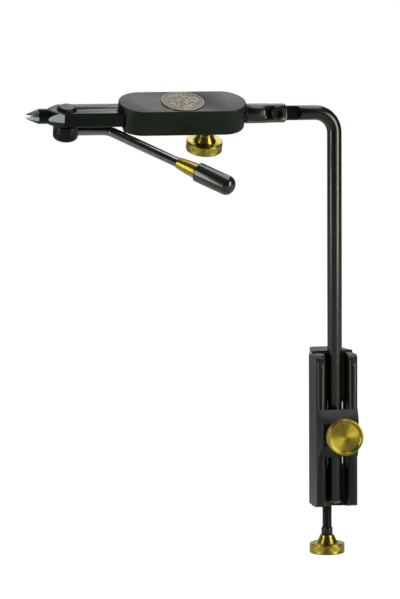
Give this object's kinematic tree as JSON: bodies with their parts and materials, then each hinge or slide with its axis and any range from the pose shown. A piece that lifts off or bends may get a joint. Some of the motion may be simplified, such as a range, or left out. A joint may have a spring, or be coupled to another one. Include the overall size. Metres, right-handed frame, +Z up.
{
  "type": "fly tying vise",
  "caption": "Table-clamped vise with a bent stem, a tilting and turning head, and narrow spring jaws opened by a cam lever.",
  "frame": {"origin": "where the table screw's axis meets the underside of the clamp's upper arm, the face that bears on the table's top", "axes": "+Z up the stem, +X to the right with the jaws pointing to -X, the user at -Y and the clamp's mouth open to +Y"},
  "size_m": [0.2149, 0.084, 0.3057],
  "materials": {
    "clamp_coat": "satin black powder coat on cast aluminium",
    "stem_black": "semi-gloss black oxide on drawn steel rod",
    "anodised": "matte black anodised",
    "jaw_steel": "black oxide spring steel, ground bright on the nose",
    "screw_black": "black oxide",
    "plain_steel": "ground",
    "brass": "turned, with a fine knurl",
    "bronze": "antique, mottled",
    "vinyl": "glossy dipped vinyl",
    "nylon": "plain",
    "black_nylon": "plain"
  },
  "bodies": {
    "clamp": {"clamp_body": "clamp_coat"},
    "stem_lock_pad": {"stem_lock_shoe": "brass"},
    "stem_lock": {"stem_lock_stud": "screw_black", "stem_lock_knob": "brass"},
    "table_pad": {"table_pad": "screw_black"},
    "table_screw": {"table_screw": "screw_black", "table_screw_collar": "screw_black", "table_screw_knob": "brass"},
    "stem_foot": {"stem_end_plug": "plain_steel"},
    "stem": {"stem_rod": "stem_black"},
    "shaft": {"head_shaft": "stem_black", "knuckle_screw": "stem_black", "thrust_washer": "black_nylon"},
    "head": {"housing": "anodised", "medallion": "bronze", "jaw_dowels": "plain_steel", "jaw_keeper": "anodised", "keeper_screws": "screw_black"},
    "head_lock_pad": {"head_lock_plug": "nylon"},
    "head_lock": {"head_lock_stud": "screw_black", "head_lock_knob": "brass"},
    "lever": {"cam_pin": "jaw_steel", "hub_screw": "screw_black", "lever_hub": "screw_black", "lever_rod": "stem_black", "lever_ferrule": "brass", "lever_grip": "vinyl"},
    "near_jaw": {"near_jaw": "jaw_steel"},
    "far_jaw": {"far_jaw": "jaw_steel"}
  },
  "joints": [
    {"name": "stem_height", "type": "slide", "parent": "clamp", "child": "stem_foot", "axis": [0, 0, 1], "range_m": [-0.06, 0.03]},
    {"name": "stem_turn", "type": "hinge", "parent": "stem_foot", "child": "stem", "pos_m": [0, -0.02, 0], "axis": [0, 0, 1], "continuous": true},
    {"name": "head_tilt", "type": "hinge", "parent": "stem", "child": "shaft", "pos_m": [-0.0389, -0.02, 0.1629], "axis": [0, 1, 0], "range_deg": [-45, 90]},
    {"name": "head_roll", "type": "hinge", "parent": "shaft", "child": "head", "pos_m": [-0.0389, -0.02, 0.1629], "axis": [1, 0, 0], "continuous": true},
    {"name": "lever_squeeze", "type": "hinge", "parent": "head", "child": "lever", "pos_m": [-0.1747, -0.02, 0.1629], "axis": [0, -0.4067, 0.9135], "range_deg": [0, 15], "stiffness_Nm_per_rad": 0.6, "springref_deg": -5.73},
    {"name": "near_jaw_open", "type": "hinge", "parent": "head", "child": "near_jaw", "pos_m": [-0.13655, -0.02354, 0.16132], "axis": [0, -0.4067, 0.9135], "range_deg": [0, 1.4]},
    {"name": "far_jaw_open", "type": "hinge", "parent": "head", "child": "far_jaw", "pos_m": [-0.13655, -0.01646, 0.16448], "axis": [0, 0.4067, -0.9135], "range_deg": [0, 1.4]},
    {"name": "head_lock_advance", "type": "slide", "parent": "head", "child": "head_lock_pad", "axis": [0, 0.4067, -0.9135], "range_m": [0, 0.0019]},
    {"name": "head_lock_turn", "type": "hinge", "parent": "head_lock_pad", "child": "head_lock", "pos_m": [-0.084, -0.02, 0.1629], "axis": [0, 0.4067, -0.9135], "range_deg": [0, 540]},
    {"name": "stem_lock_advance", "type": "slide", "parent": "clamp", "child": "stem_lock_pad", "axis": [0, -1, 0], "range_m": [0, 0.0025]},
    {"name": "stem_lock_turn", "type": "hinge", "parent": "stem_lock_pad", "child": "stem_lock", "pos_m": [0, 0, -0.0449], "axis": [0, -1, 0], "range_deg": [0, 720]},
    {"name": "table_pad_lift", "type": "slide", "parent": "clamp", "child": "table_pad", "axis": [0, 0, 1], "range_m": [-0.0495, 0.0165]},
    {"name": "table_screw_turn", "type": "hinge", "parent": "table_pad", "child": "table_screw", "pos_m": [0, 0, 0], "axis": [0, 0, 1], "range_deg": [-13500, 4500]}
  ],
  "couplings": [
    {"joint": "near_jaw_open", "follows": "lever_squeeze", "ratio": 0.088},
    {"joint": "far_jaw_open", "follows": "lever_squeeze", "ratio": 0.088},
    {"joint": "head_lock_turn", "follows": "head_lock_advance", "rad_per_m": 4947.4},
    {"joint": "stem_lock_turn", "follows": "stem_lock_advance", "rad_per_m": 4947.4},
    {"joint": "table_screw_turn", "follows": "table_pad_lift", "rad_per_m": 4760}
  ]
}
